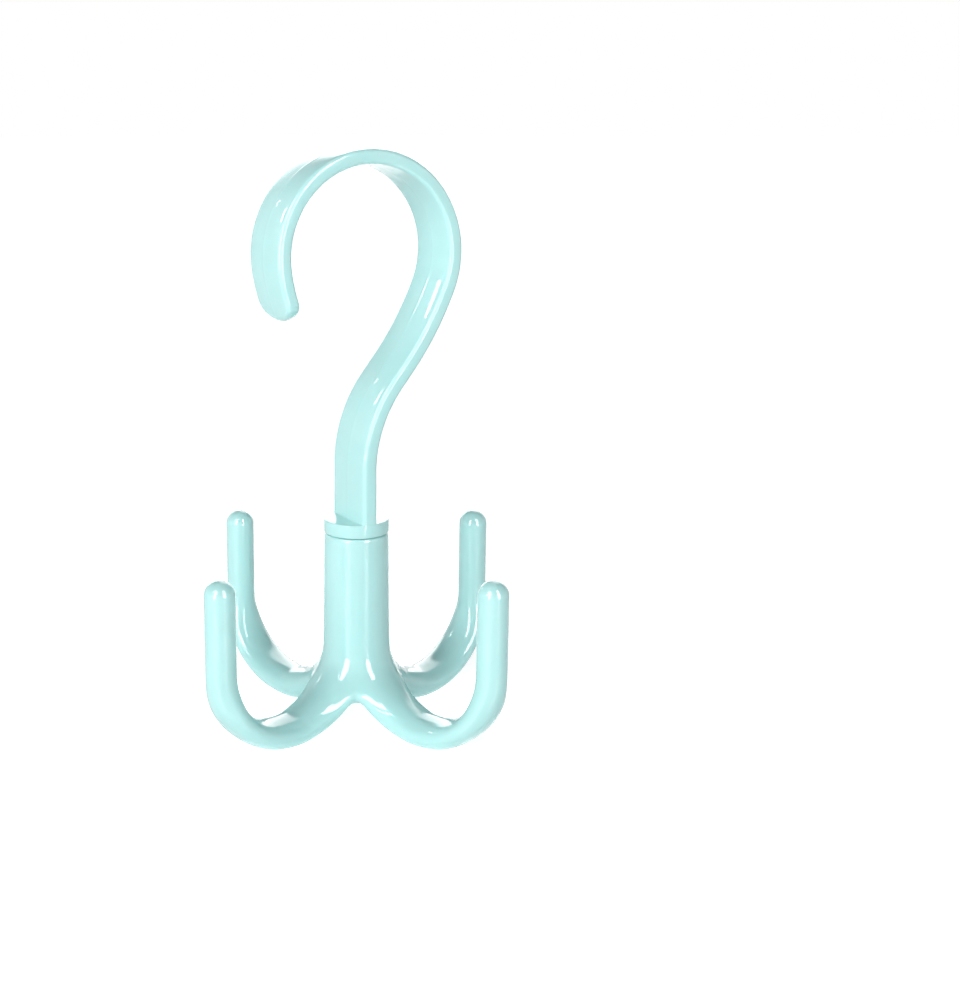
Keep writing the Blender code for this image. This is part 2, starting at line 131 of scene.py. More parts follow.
class HANGER_PG_hook(PropertyGroup):
    """Sizes of the flat band, its collar and its peg."""

    collar_diameter: length("Collar", "Diameter of the collar", 0.0169)
    collar_thickness: length("Collar thickness", "Thickness of the collar", 0.0035)
    collar_edge: length("Collar edge", "Rounding of the collar's edges", 0.0003)
    seat_gap: length("Seat gap", "Gap between the collar and the barrel", 0.0003)
    peg_diameter: length("Peg", "Diameter of the pivot peg", 0.0090)
    peg_end_z: length("Peg end", "Height of the peg's lower end", NODE_BOXES[HOOK_NODE][0].z)
    peg_chamfer: length("Peg chamfer", "Chamfer at the peg's end", 0.0006)
    pilot_diameter: length("Pilot hole", "Diameter of the screw's hole in the peg", 0.0041)
    pilot_depth: length("Pilot depth", "Depth of the screw's hole", 0.0130)
    band_width: length("Band width", "Width of the flat band", 0.0167)
    band_thickness: length("Band thickness", "Thickness of the band in the loop", 0.0037)
    stem_thickness: length("Stem thickness", "Thickness of the band at the collar", 0.0041)
    band_corner: length("Band corner", "Rounding of the band's long edges", 0.0010)
    band_crown: length("Band crown", "How far the wide faces bulge along their middle", 0.00024)
    tip_corner: length("Tip corner", "Rounding of the edges at the band's tip", 0.0015)
    stem_offset: length("Stem offset", "How far the stem stands off the swivel axis", 0.0004)
    stem_length: length("Stem length", "Straight stretch above the collar", 0.0135)
    stem_bend_radius: length("Stem bend", "Radius of the bend above the stem", 0.0350)
    stem_lean: angle("Stem lean", "How far that bend turns", 38.7)
    stem_slope_length: length("Stem slope", "Straight stretch above that bend", 0.0058)
    shoulder_radius: length("Shoulder", "Radius of the slow bend back", 0.0818)
    shoulder_lean: angle("Shoulder lean", "Lean that is left where the loop starts", 23.0)
    loop_radius: length("Loop", "Radius of the loop's middle line", 0.0240)
    loop_past_side: angle("Loop past side", "How far the loop goes past its far side", 8.0)
    end_radius: length("End bend", "Radius of the last stretch", 0.0450)
    end_length: length("End length", "Length of the last stretch", 0.0124)
    tip_length: length("Tip length", "Length over which the tip rounds off", 0.0050)
    tip_fullness: share("Tip fullness", "2 makes the tip's outline an ellipse, more squares it", 2.2)
    seam_width: length("Seam width", "Width of the fine parting seam along the ridges", 0.00022)
    seam_height: length("Seam height", "Height of that seam", 0.000012)
    collar_fillet: length("Collar fillet", "Fillet where the band stands on the collar", 0.0003)
    swivel: angle("Swivel", "How far the hook is turned about the swivel axis", 28.7)
    band_step: length("Band step", "Distance between the band's sections", 0.0006)
    corner_steps: count("Corner steps", "Facets in each long edge's rounding", 8)


class HANGER_PG_fastener(PropertyGroup):
    """Sizes of the screw and the washer."""

    washer_diameter: length("Washer", "Diameter of the washer", 0.0120)
    washer_edge: length("Washer edge", "Rounding of the washer's edges", 0.00015)
    washer_hole: length("Washer hole", "Diameter of the washer's hole", 0.0043)
    head_diameter: length("Screw head", "Diameter of the pan head", 0.0070)
    head_height: length("Head height", "Height of the pan head", 0.0024)
    head_edge: length("Head edge", "Rounding of the pan head", 0.0009)
    seat_chamfer: length("Seat chamfer", "Chamfer of the pan head's seat", 0.0001)
    thread_diameter: length("Thread", "Diameter over the thread", 0.0035)
    core_diameter: length("Core", "Diameter under the thread", 0.0026)
    thread_pitch: length("Pitch", "Rise of the thread in one turn", 0.0013)
    screw_point: length("Point", "Length of the screw's point", 0.0012)
    recess_length: length("Recess length", "Length of each arm pair of the cross recess", 0.0042)
    recess_width: length("Recess width", "Width of the recess's arms", 0.0009)
    recess_depth: length("Recess depth", "Depth of the cross recess", 0.0013)


class HANGER_PG_finish(PropertyGroup):
    """Colours and surfaces."""

    mint: colour("Mint", "Main colour of the plastic", (0.522, 0.852, 0.846))
    mint_deep: colour("Deep mint", "Colour of the plastic's denser streaks", (0.497, 0.837, 0.828))
    gloss_roughness: share("Gloss roughness", "Roughness of the cleanest plastic", 0.035)
    worn_roughness: share("Worn roughness", "Roughness of the most handled plastic", 0.075)
    peel_height: length("Orange peel", "Height of the moulded surface's fine ripple", 0.0000008)
    wave_height: length("Waves", "Height of the slow waves that the cooling plastic leaves", 0.000004)
    zinc: colour("Zinc", "Colour of the zinc plating", (0.66, 0.68, 0.70))
    zinc_shade: colour("Zinc shade", "Colour of its duller patches", (0.50, 0.52, 0.53))


class HANGER_PG_stage(PropertyGroup):
    """Floor, lamps and camera."""

    floor: colour("Floor", "Colour of the floor", (0.85, 0.85, 0.85))
    floor_radius: length("Floor radius", "Radius of the round floor", 9.0)
    floor_gap: length("Floor gap", "How far the floor lies under the claws", 0.0001)
    floor_lift: share("Floor lift", "White that the camera sees on the floor near the claws", 0.78)
    floor_mirrored: share("Floor mirrored", "White that reflections see on the floor", 0.42)
    floor_glow: share("Floor glow", "Light that the floor gives besides what falls on it", 0.25)
    floor_sheen: share("Floor sheen", "How much of the lamps the floor mirrors into the object's gloss", 0.2)
    room_front: share("Room in front", "Brightness of the room low down in front and on the left", 1.17)
    room_right: share("Room on the right", "Brightness of the room low down on the right", 1.25)
    room_back: share("Room behind", "Brightness of the backdrop that the gloss mirrors", 3.8)
    room_left: share("Room behind left", "Brightness of the room that the gloss mirrors on that side", 0.75)
    room_top: share("Room overhead", "Brightness of the room overhead", 0.04)
    strip_distance: length("Strip distance", "How far the narrow soft boxes stand from the hanger", 0.55)
    broad_distance: length("Broad distance", "How far the broad soft lamp stands from the hanger", 1.1)
    broad_power: share("Broad lamp", "Power of the broad soft lamp in watts", 9.3)
    strip_radiance: share("Strip lamps", "Radiance of the narrow soft boxes that the gloss mirrors", 14.0)
    camera_back: length("Camera distance", "How far in front of the swivel axis the camera stands", 0.38182)
    camera_height: length("Camera height", "Height of the camera", 0.15892)
    camera_pitch: angle("Camera pitch", "How far the camera looks down", 12.617)
    lens: share("Lens", "Focal length in millimetres on a 36 mm wide sensor", 55.216)
    shift_x: share("Shift across", "The lens's sideways shift, as a share of the long side", 0.12462)
    shift_y: share("Shift up", "The lens's upward shift, as a share of the long side", -0.04591)


# Mesh helpers


def object_from(name, shape, smooth=True):
    """A mesh object made from a bmesh, which is freed."""
    mesh = bpy.data.meshes.new(name)
    shape.to_mesh(mesh)
    shape.free()
    made = bpy.data.objects.new(name, mesh)
    bpy.context.scene.collection.objects.link(made)
    if smooth:
        mesh.shade_smooth()
    return made


def add_loft(shape, rings, closed_ends=True):
    """Joins rings of points, each round the same way, into a tube."""
    made = [[shape.verts.new(point) for point in ring] for ring in rings]
    for first, second in zip(made, made[1:]):
        for index, one in enumerate(first):
            after = (index + 1) % len(first)
            shape.faces.new((one, first[after], second[after], second[index]))
    if closed_ends:
        shape.faces.new(made[0])
        shape.faces.new(made[-1])
    return made


def turned(name, profile, steps=96):
    """A solid turned about Z from a profile of (radius, z) points."""
    shape = bmesh.new()
    points = [shape.verts.new((radius, 0, z)) for radius, z in profile]
    for first, second in zip(points, points[1:]):
        shape.edges.new((first, second))
    bmesh.ops.spin(
        shape, geom=shape.verts[:] + shape.edges[:], axis=(0, 0, 1), cent=(0, 0, 0), angle=tau, steps=steps,
        use_merge=True,
    )
    bmesh.ops.remove_doubles(shape, verts=shape.verts, dist=WELD_DISTANCE)
    bmesh.ops.recalc_face_normals(shape, faces=shape.faces)
    return object_from(name, shape)


def rounded(corner, before, after, radius, steps=6):
    """Points that round a profile's corner off, between the lines to the points before and after it."""
    corner, before, after = Vector(corner), Vector(before), Vector(after)
    start = corner + (before - corner).normalized() * radius
    end = corner + (after - corner).normalized() * radius
    points = []
    for step in range(steps + 1):
        part = step / steps
        point = start * (1 - part) ** 2 + corner * 2 * part * (1 - part) + end * part**2
        points.append(tuple(point))
    return points


def apply_modifiers(made):
    """Replaces the mesh by what its modifiers make of it."""
    evaluated = made.evaluated_get(bpy.context.evaluated_depsgraph_get())
    mesh = bpy.data.meshes.new_from_object(evaluated)
    made.modifiers.clear()
    made.data = mesh


def combine(target, other, operation):
    """An exact Boolean with another object, which is then removed."""
    cut = target.modifiers.new("combine", "BOOLEAN")
    cut.operation = operation
    cut.solver = "EXACT"
    cut.object = other
    apply_modifiers(target)
    bpy.data.objects.remove(other)


def fit_to_node(made, node):
    """Seats a mesh exactly in its CAD node's box, which its finer facets would overstep by a hair."""
    low, high = NODE_BOXES[node]
    points = np.array([v.co for v in made.data.vertices])
    old_low, old_high = Vector(points.min(0)), Vector(points.max(0))
    scale = Matrix.Diagonal([(high[i] - low[i]) / (old_high[i] - old_low[i]) for i in range(3)]).to_4x4()
    made.data.transform(Matrix.Translation(low) @ scale @ Matrix.Translation(-old_low))


def finish_piece(piece, material, body, node):
    """Gives a piece its material, hides the CAD node that it stands for, and hangs it on the body that it
    rides on.
    """
    piece.data.materials.clear()
    piece.data.materials.append(material)
    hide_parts(node)
    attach(piece, body)


# Claw body


def round_gain(sides):
    """How far out the points of a regular cage ring lie from the smooth circle that it makes."""
    return 3 / (2 + cos(tau / sides))


def controls_through(points):
    """Cage points for a smooth line that passes through the points given. Its ends stay where they are."""
    size = len(points)
    matrix = np.eye(size)
    for row in range(1, size - 1):
        matrix[row, row - 1 : row + 2] = (1 / 6, 4 / 6, 1 / 6)
    return [Vector(row) for row in np.linalg.solve(matrix, np.array([tuple(p) for p in points]))]


LINES_PER_CLAW = 6
CLAW_COUNT = 4
ARM_SIDES = 10
ROOT_STEPS = 4
ROOT_START = radians(30)
BEND_STEPS = 6
BARREL_RING_SHARES = (0.4, 0.8, 0.95, 1.0)
TINE_RING_SHARES = (0.35, 0.66, 0.85, 0.94, 1.0)
DOME_RING_TURNS = (radians(25), radians(50), radians(72))
# How the arm's faces, width and lower edges run on from the barrel to the tine
UPPER_REACH_POWER, UPPER_DROP_POWER = 1.23, 0.86
ROOT_SPREAD_POWER, UNDERSIDE_POWER = 1.2, 2.4
BEND_WIDTH_POWER, BEND_WIDTH_EASE = 3.6, 1.5
UNDERSIDE_CREASES = (0.0, 0.2, 0.22)
# The share of a straight tine's length over which the skin comes onto the exact cylinder
TRUE_TINE_SHARE = 0.35
SHARP_CLAW_EDGE = radians(40)


def barrel_rings(sizes):
    """(radius, z, sharp) of the rings from the counterbore's mouth up the bore and down to the flare."""
    bore = sizes.bore_diameter / 2
    mouth = sizes.counterbore_diameter / 2
    top = sizes.barrel_top_diameter / 2
    foot = sizes.barrel_foot_diameter / 2
    rim_z = sizes.barrel_top_z
    below_rim = rim_z - sizes.rim_rounding_down
    shoulder_z = sizes.foot_z + sizes.counterbore_depth
    rings = [
        (mouth, sizes.foot_z, True),
        (mouth, shoulder_z, True),
        (bore, shoulder_z, True),
        (bore, rim_z - sizes.bore_chamfer, True),
        (bore + sizes.bore_chamfer, rim_z, True),
        (top - sizes.rim_rounding_in, rim_z, False),
        (top, rim_z, False),
        (top, below_rim, False),
    ]
    for part in BARREL_RING_SHARES:
        rings.append((top + (foot - top) * part, below_rim + (sizes.flare_top_z - below_rim) * part, False))
    return rings


def root_section(sizes, turn):
    """(upper point, lower point, half width) of the arm's root. It meets the bend at a turn of pi / 2."""
    upper_run = sizes.bend_reach - sizes.barrel_foot_diameter / 2
    upper_drop = sizes.flare_top_z - sizes.arm_thickness
    lower_run = sizes.bend_reach - sizes.counterbore_diameter / 2 - sizes.counterbore_lip
    upper = (
        sizes.bend_reach - upper_run * cos(turn) ** UPPER_REACH_POWER,
        sizes.arm_thickness + upper_drop * (1 - sin(turn)) ** UPPER_DROP_POWER,
    )
    lower = (sizes.bend_reach - lower_run * cos(turn), sizes.foot_z * cos(turn) ** UNDERSIDE_POWER)
    return upper, lower, sizes.arm_width / 2 + sizes.root_spread * (1 - sin(turn)) ** ROOT_SPREAD_POWER


def bend_section(sizes, part):
    """(upper point, lower point, half width) of the arm in its bend. The part is 1 where the tine starts."""
    turn = pi / 2 * part
    tine = sizes.tine_diameter / 2
    run = sizes.tine_reach - sizes.bend_reach
    rise = sizes.bend_height
    middle = Vector((sizes.bend_reach + run * sin(turn), sizes.arm_thickness / 2 + rise * (1 - cos(turn))))
    along = Vector((run * cos(turn), rise * sin(turn))).normalized()
    upward = Vector((-along.y, along.x))
    thinning = sizes.bend_thinning * sin(pi * part) ** 2
    half_thickness = tine + (sizes.arm_thickness / 2 - tine) * (1 - part) ** 2 - thinning
    half_width = tine + (sizes.arm_width / 2 - tine) * (1 - part**BEND_WIDTH_POWER) ** BEND_WIDTH_EASE
    return middle + upward * half_thickness, middle - upward * half_thickness, half_width


def arm_sections(sizes):
    """The arm's sections in its own plane, from the barrel to the end of the tine."""
    tine = sizes.tine_diameter / 2
    bend_top_z = sizes.arm_thickness / 2 + sizes.bend_height
    dome_z = sizes.tine_height - tine

    def tine_section(z, radius):
        return (sizes.tine_reach - radius, z), (sizes.tine_reach + radius, z), radius

    turns = [ROOT_START + (pi / 2 - ROOT_START) * step / ROOT_STEPS for step in range(ROOT_STEPS)]
    sections = [root_section(sizes, turn) for turn in turns]
    sections += [bend_section(sizes, step / BEND_STEPS) for step in range(BEND_STEPS + 1)]
    sections += [tine_section(bend_top_z + (dome_z - bend_top_z) * part, tine) for part in TINE_RING_SHARES]
    sections += [tine_section(dome_z + tine * sin(turn), tine * cos(turn)) for turn in DOME_RING_TURNS]
    return sections


def arm_rings(sizes, azimuth):
    """The cage rings of one arm. Each runs round from one side of the arm over its upper face."""
    outward = Vector((cos(azimuth), sin(azimuth), 0))
    sideways = Vector((-sin(azimuth), cos(azimuth), 0))
    gain = round_gain(ARM_SIDES)
    lines = []
    for side in range(ARM_SIDES):
        turn = tau * (side + 0.5) / ARM_SIDES
        line = []
        for upper, lower, half_width in arm_sections(sizes):
            top = outward * upper[0] + Vector((0, 0, upper[1]))
            bottom = outward * lower[0] + Vector((0, 0, lower[1]))
            middle = (top + bottom) / 2
            line.append(middle + ((top - middle) * sin(turn) - sideways * half_width * cos(turn)) * gain)
        lines.append(controls_through(line))
    return [list(ring) for ring in zip(*lines)]


def flare_point(cage, above, below):
    """A cage point half way round the curve that leaves the barrel upright and sweeps out to the arm."""
    turn = ROOT_START / 2
    outward = (1 - cos(turn)) / (1 - cos(ROOT_START))
    downward = sin(turn) / sin(ROOT_START)
    (x, y, z), (far_x, far_y, far_z) = above.co, below.co
    return cage.verts.new((x + (far_x - x) * outward, y + (far_y - y) * outward, z + (far_z - z) * downward))


def add_quarter(cage, sharp, sizes, azimuth):
    """Adds one claw's quarter of the skin: its sector of the barrel, its arm and its underside."""
    upper_count = ARM_SIDES // 2
    gain = round_gain(LINES_PER_CLAW * CLAW_COUNT)
    sector = tau / CLAW_COUNT
    azimuths = [azimuth + sector * (line / LINES_PER_CLAW - 0.5) for line in range(LINES_PER_CLAW + 1)]

    def ring(radius, z):
        return [cage.verts.new((radius * gain * cos(a), radius * gain * sin(a), z)) for a in azimuths]

    def strip(first, second):
        for one, two, three, four in zip(first, first[1:], second[1:], second):
            cage.faces.new((one, two, three, four))

    rings = [(ring(radius, z), crease) for radius, z, crease in barrel_rings(sizes)]
    for (first, _), (second, _) in zip(rings, rings[1:]):
        strip(first, second)
    for points, crease in rings:
        for one, two in zip(points, points[1:]):
            cage.edges.get((one, two))[sharp] = 1.0 if crease else 0.0

    lip = ring(sizes.counterbore_diameter / 2 + sizes.counterbore_lip, sizes.foot_z)
    strip(lip, rings[0][0])
    crotch_z = sizes.foot_z + sizes.crotch_rise
    lower_crotch, upper_crotch = (
        [cage.verts.new((reach * cos(a), reach * sin(a), z)) for a in (azimuths[0], azimuths[-1])]
        for reach, z in (
            (sizes.crotch_reach - sizes.crotch_undercut, crotch_z),
            (sizes.crotch_reach, crotch_z + sizes.crotch_thickness),
        )
    )
    arm = [[cage.verts.new(point) for point in points] for points in arm_rings(sizes, azimuth)]
    root = arm[0]
    upper = [upper_crotch[0], *root[:upper_count], upper_crotch[1]]
    lower = [lower_crotch[0], *reversed(root[upper_count:]), lower_crotch[1]]
    flare = [flare_point(cage, above, below) for above, below in zip(rings[-1][0], upper)]
    strip(rings[-1][0], flare)
    strip(flare, upper)
    strip(lower, lip)
    strip([upper_crotch[0], root[0]], [lower_crotch[0], root[-1]])
    strip([root[upper_count - 1], upper_crotch[1]], [root[upper_count], lower_crotch[1]])
    for first, second in zip(arm, arm[1:]):
        strip(first + first[:1], second + second[:1])
    cage.faces.new(arm[-1])
    for ends in ((lower_crotch[0], root[-1]), (lower_crotch[1], root[upper_count])):
        cage.edges.get(ends)[sharp] = UNDERSIDE_CREASES[0]
    for first, second, crease in zip(arm, arm[1:], UNDERSIDE_CREASES):
        for side in (-1, upper_count):
            cage.edges.get((first[side], second[side]))[sharp] = crease


def true_tines(mesh, sizes):
    """Brings the skin of the straight tines and their ends onto exact cylinders and half spheres."""
    radius = sizes.tine_diameter / 2
    dome_z = sizes.tine_height - radius
    bend_top_z = sizes.arm_thickness / 2 + sizes.bend_height
    for vertex in mesh.vertices:
        z = vertex.co.z
        if Vector(vertex.co.xy).length < sizes.tine_reach - 2 * radius or z < bend_top_z:
            continue
        azimuth = round(atan2(vertex.co.y, vertex.co.x) / (pi / 2) - 0.5) * pi / 2 + pi / 4
        middle = Vector((sizes.tine_reach * cos(azimuth), sizes.tine_reach * sin(azimuth), min(z, dome_z)))
        exact = middle + (vertex.co - middle).normalized() * radius
        part = min(1.0, (z - bend_top_z) / (TRUE_TINE_SHARE * (dome_z - bend_top_z)))
        vertex.co = vertex.co.lerp(exact, part)


def build_claws(sizes):
    """The barrel and its four arms: one coarse cage under Subdivision Surface."""
    cage = bmesh.new()
    sharp = cage.edges.layers.float.new("crease_edge")
    for claw in range(CLAW_COUNT):
        add_quarter(cage, sharp, sizes, tau * (claw + 0.5) / CLAW_COUNT)
    bmesh.ops.remove_doubles(cage, verts=cage.verts, dist=WELD_DISTANCE)
    bmesh.ops.recalc_face_normals(cage, faces=cage.faces)
    made = object_from("moulded_claws", cage)
    skin = made.modifiers.new("skin", "SUBSURF")
    skin.levels = skin.render_levels = sizes.skin_levels
    apply_modifiers(made)
    true_tines(made.data, sizes)
    fit_to_node(made, CLAW_NODE)
    made.data.shade_smooth()
    made.data.set_sharp_from_angle(angle=SHARP_CLAW_EDGE)
    return made


# Hook


TIP_STEPS = 40
FACE_STEPS = 6
STUB_RINGS = 9
FILLET_STEPS = 5
STUB_TRIM_SHARE = 0.1
SHARP_HOOK_EDGE = radians(32)


def band_bends(sizes):
    """(length, turn to the right per metre) of each stretch of the band's middle line, up to its tip."""
    return (
        (sizes.stem_length, 0.0),
        (sizes.stem_bend_radius * sizes.stem_lean, 1 / sizes.stem_bend_radius),
        (sizes.stem_slope_length, 0.0),
        (sizes.shoulder_radius * (sizes.stem_lean - sizes.shoulder_lean), -1 / sizes.shoulder_radius),
        (sizes.loop_radius * (sizes.shoulder_lean + pi + sizes.loop_past_side), -1 / sizes.loop_radius),
        (sizes.end_length, -1 / sizes.end_radius),
    )


def collar_heights(sizes):
    """Heights of the collar's underside and top."""
    bottom = NODE_BOXES[CLAW_NODE][1].z + sizes.seat_gap
    return bottom, bottom + sizes.collar_thickness


def band_place(sizes, distance):
    """(place, direction) on the band's middle line that far above the collar, as (across, z) vectors."""
    place = Vector((-sizes.stem_offset, collar_heights(sizes)[1] + min(0.0, distance)))
    distance = max(0.0, distance)
    lean = 0.0
    for stretch, bend in band_bends(sizes):
        step = min(stretch, distance)
        after = lean + bend * step
        if bend:
            place += Vector((cos(lean) - cos(after), sin(after) - sin(lean))) / bend
        else:
            place += Vector((sin(lean), cos(lean))) * step
        lean = after
        distance -= step
        if distance <= 0:
            break
    return place, Vector((sin(lean), cos(lean)))


def band_half_thickness(sizes, along):
    """Half the band's thickness that far above the collar, where it stands on a small fillet."""
    whole = sum(stretch for stretch, _ in band_bends(sizes))
    part = min(1.0, 2 * max(along, 0) / whole)
    half = (sizes.stem_thickness + (sizes.band_thickness - sizes.stem_thickness) * part) / 2
    short = min(1.0, max(0.0, 1 - along / sizes.collar_fillet))
    return half + sizes.collar_fillet * (1 - sqrt(1 - short**2))


def band_outline(sizes):
    """(along, across, outward normal) points of one side of the band, from inside the collar to the tip."""
    whole = sum(stretch for stretch, _ in band_bends(sizes))
    straight = whole - sizes.tip_length
    half = sizes.band_width / 2
    fillet = sizes.collar_fillet
    places = [-sizes.collar_thickness / 2]
    places += [fillet * step / FILLET_STEPS for step in range(FILLET_STEPS + 1)]
    steps = round((straight - fillet) / sizes.band_step)
    places += [fillet + (straight - fillet) * step / steps for step in range(1, steps)]
    outline = [(along, half, (0.0, 1.0)) for along in places]
    power = sizes.tip_fullness
    for step in range(TIP_STEPS + 1):
        turn = pi / 2 * step / TIP_STEPS
        along, across = sin(turn) ** (2 / power), abs(cos(turn)) ** (2 / power)
        normal = Vector((along ** (power - 1) / sizes.tip_length, across ** (power - 1) / half)).normalized()
        outline.append((straight + sizes.tip_length * along, half * across, tuple(normal)))
    return outline


def band_half_ring(sizes, along, across, normal):
    """Half of the band's section, from the ridge of one wide face round to the other's."""
    corner = sizes.band_corner + (sizes.tip_corner - sizes.band_corner) * normal[0] ** 2
    inner_along, inner_across = along - normal[0] * corner, max(0.0, across - normal[1] * corner)
    flat_half = sizes.band_width / 2 - sizes.band_corner
    half = band_half_thickness(sizes, along)
    edge_half = half + sizes.band_crown * (1 - (inner_across / flat_half) ** 2)
    lean = atan2(2 * sizes.band_crown * inner_across, flat_half**2)
    bead = min(sizes.seam_width / 2, inner_across / 2)
    points = [(inner_along, 0, half + sizes.band_crown + sizes.seam_height)]
    for step in range(FACE_STEPS):
        place = bead + (inner_across - bead) * step / FACE_STEPS
        points.append((inner_along, place, half + sizes.band_crown * (1 - (place / flat_half) ** 2)))
    for step in range(sizes.corner_steps + 1):
        turn = lean + (pi / 2 - lean) * step / sizes.corner_steps
        inward = corner * (1 - sin(turn))
        rolled = (along - normal[0] * inward, max(0.0, across - normal[1] * inward))
        points.append((*rolled, edge_half - corner * (1 - cos(turn))))
    points += [(one, two, -height) for one, two, height in reversed(points)]
    ring = []
    for one, two, height in points:
        place, direction = band_place(sizes, one)
        ring.append((place.x + direction.y * height, two, place.y - direction.x * height))
    return ring


def add_band(shape, half_rings, open_start):
    """Adds both sides of the band's skin, which share the points of the ridges and of the tip's middle."""
    found = {}

    def corner(x, y, z):
        key = tuple(round(value / WELD_DISTANCE) for value in (x, y, z))
        if key not in found:
            found[key] = shape.verts.new((x, y, z))
        return found[key]

    made = [[[corner(x, side * y, z) for x, y, z in ring] for ring in half_rings] for side in (1, -1)]
    for rings in made:
        for first, second in zip(rings, rings[1:]):
            for around in zip(first, first[1:], second[1:], second):
                distinct = list(dict.fromkeys(around))
                if len(distinct) > 2:
                    shape.faces.new(distinct)
    if not open_start:
        shape.faces.new(made[0][0] + made[1][0][-2:0:-1])
        shape.faces.new(made[0][-1] + made[1][-1][-2:0:-1])


def build_hook(sizes):
    """The flat band, the collar and the pivot peg in one moulding, with the screw's hole up the peg."""
    half_rings = [band_half_ring(sizes, *point) for point in band_outline(sizes)]
    stub = bmesh.new()
    add_band(stub, half_rings[:STUB_RINGS], open_start=False)
    bmesh.ops.recalc_face_normals(stub, faces=stub.faces)
    made = object_from("moulded_hook", stub)

    peg, collar, pilot = sizes.peg_diameter / 2, sizes.collar_diameter / 2, sizes.pilot_diameter / 2
    bottom, top = collar_heights(sizes)
    end = sizes.peg_end_z
    edge = sizes.collar_edge
    profile = [
        (0, top),
        *rounded((collar, top), (0, top), (collar, bottom), edge),
        *rounded((collar, bottom), (collar, top), (0, bottom), edge),
        (peg, bottom),
        (peg, end + sizes.peg_chamfer),
        (peg - sizes.peg_chamfer, end),
        (pilot, end),
        (pilot, end + sizes.pilot_depth),
        (0, end + sizes.pilot_depth),
    ]
    combine(made, turned("collar_and_peg", profile), "UNION")

    whole = bmesh.new()
    whole.from_mesh(made.data)
    cut_z = half_rings[STUB_RINGS - 1][0][2] - sizes.collar_fillet * STUB_TRIM_SHARE
    stub_end = [face for face in whole.faces if min(v.co.z for v in face.verts) > cut_z]
    bmesh.ops.delete(whole, geom=stub_end, context="FACES")
    add_band(whole, half_rings[STUB_RINGS - 1 :], open_start=True)
    bmesh.ops.remove_doubles(whole, verts=whole.verts, dist=WELD_DISTANCE)
    bmesh.ops.recalc_face_normals(whole, faces=whole.faces)
    whole.to_mesh(made.data)
    whole.free()
    made.data.transform(Matrix.Rotation(sizes.swivel, 4, "Z"))
    fit_to_node(made, HOOK_NODE)
    made.data.shade_smooth()
    made.data.set_sharp_from_angle(angle=SHARP_HOOK_EDGE)
    return made


# Washer and screw


WASHER_EDGE_STEPS = 4
THREAD_STEPS_PER_TURN = 32
THREAD_ROOT_SHARE, THREAD_CREST_SHARE, THREAD_SUNK_SHARE = 0.28, 0.05, 0.85
RECESS_RING_SHARES = ((1.25, -1 / 3), (1.0, 0.0), (0.42, 1.0))
RECESS_TAPER_SHARE, RECESS_CORNER_SHARE = 0.6, 1.15
HEAD_STEPS = 12
SHARP_SCREW_EDGE = radians(35)


def build_washer(sizes):
    """The flat washer that the peg hangs on, with the soft edges of a stamping."""
    low, high = (corner.z for corner in NODE_BOXES[WASHER_NODE])
    hole, rim = sizes.washer_hole / 2, sizes.washer_diameter / 2
    edge = sizes.washer_edge
    corners = [(hole, high), (rim, high), (rim, low), (hole, low)]
    profile = []
    for index, corner in enumerate(corners):
        after = corners[(index + 1) % len(corners)]
        profile += rounded(corner, corners[index - 1], after, edge, WASHER_EDGE_STEPS)
    profile.append(profile[0])
    return turned("flat_washer", profile)


def thread_bead(sizes, first_z, last_z):
    """The thread: a ridge of tapered section wound up the core, sunk into it at both ends."""
    core, crest = sizes.core_diameter / 2, sizes.thread_diameter / 2
    turns = (last_z - first_z) / sizes.thread_pitch
    steps = round(turns * THREAD_STEPS_PER_TURN)
    half_root, half_crest = sizes.thread_pitch * THREAD_ROOT_SHARE, sizes.thread_pitch * THREAD_CREST_SHARE
    sunk = core * THREAD_SUNK_SHARE
    bead = bmesh.new()
    rings = []
    for index in range(steps + 1):
        turn = tau * turns * index / steps
        fade = min(1.0, index / THREAD_STEPS_PER_TURN, (steps - index) / THREAD_STEPS_PER_TURN)
        reach = sunk + (crest - sunk) * fade
        z = first_z + (last_z - first_z) * index / steps
        section = ((sunk, -half_root), (reach, -half_crest), (reach, half_crest), (sunk, half_root))
        rings.append([(r * cos(turn), r * sin(turn), z + rise) for r, rise in section])
    add_loft(bead, rings)
    bmesh.ops.recalc_face_normals(bead, faces=bead.faces)
    return object_from("thread_bead", bead)


def cross_recess(sizes, bottom):
    """The tapered cross that the driver's point fits."""
    cutter = bmesh.new()
    length_half, width_half = sizes.recess_length / 2, sizes.recess_width / 2
    rings = []
    for part, depth_share in RECESS_RING_SHARES:
        long, wide = length_half * part, width_half * (1 - RECESS_TAPER_SHARE + RECESS_TAPER_SHARE * part)
        inner = wide * RECESS_CORNER_SHARE
        z = bottom + sizes.recess_depth * depth_share
        ring = []
        for c, s in ((1, 0), (0, 1), (-1, 0), (0, -1)):
            for x, y in ((long, -wide), (long, wide), (inner, inner)):
                ring.append((x * c - y * s, x * s + y * c, z))
        rings.append(ring)
    add_loft(cutter, rings)
    bmesh.ops.recalc_face_normals(cutter, faces=cutter.faces)
    return object_from("cross_cutter", cutter)


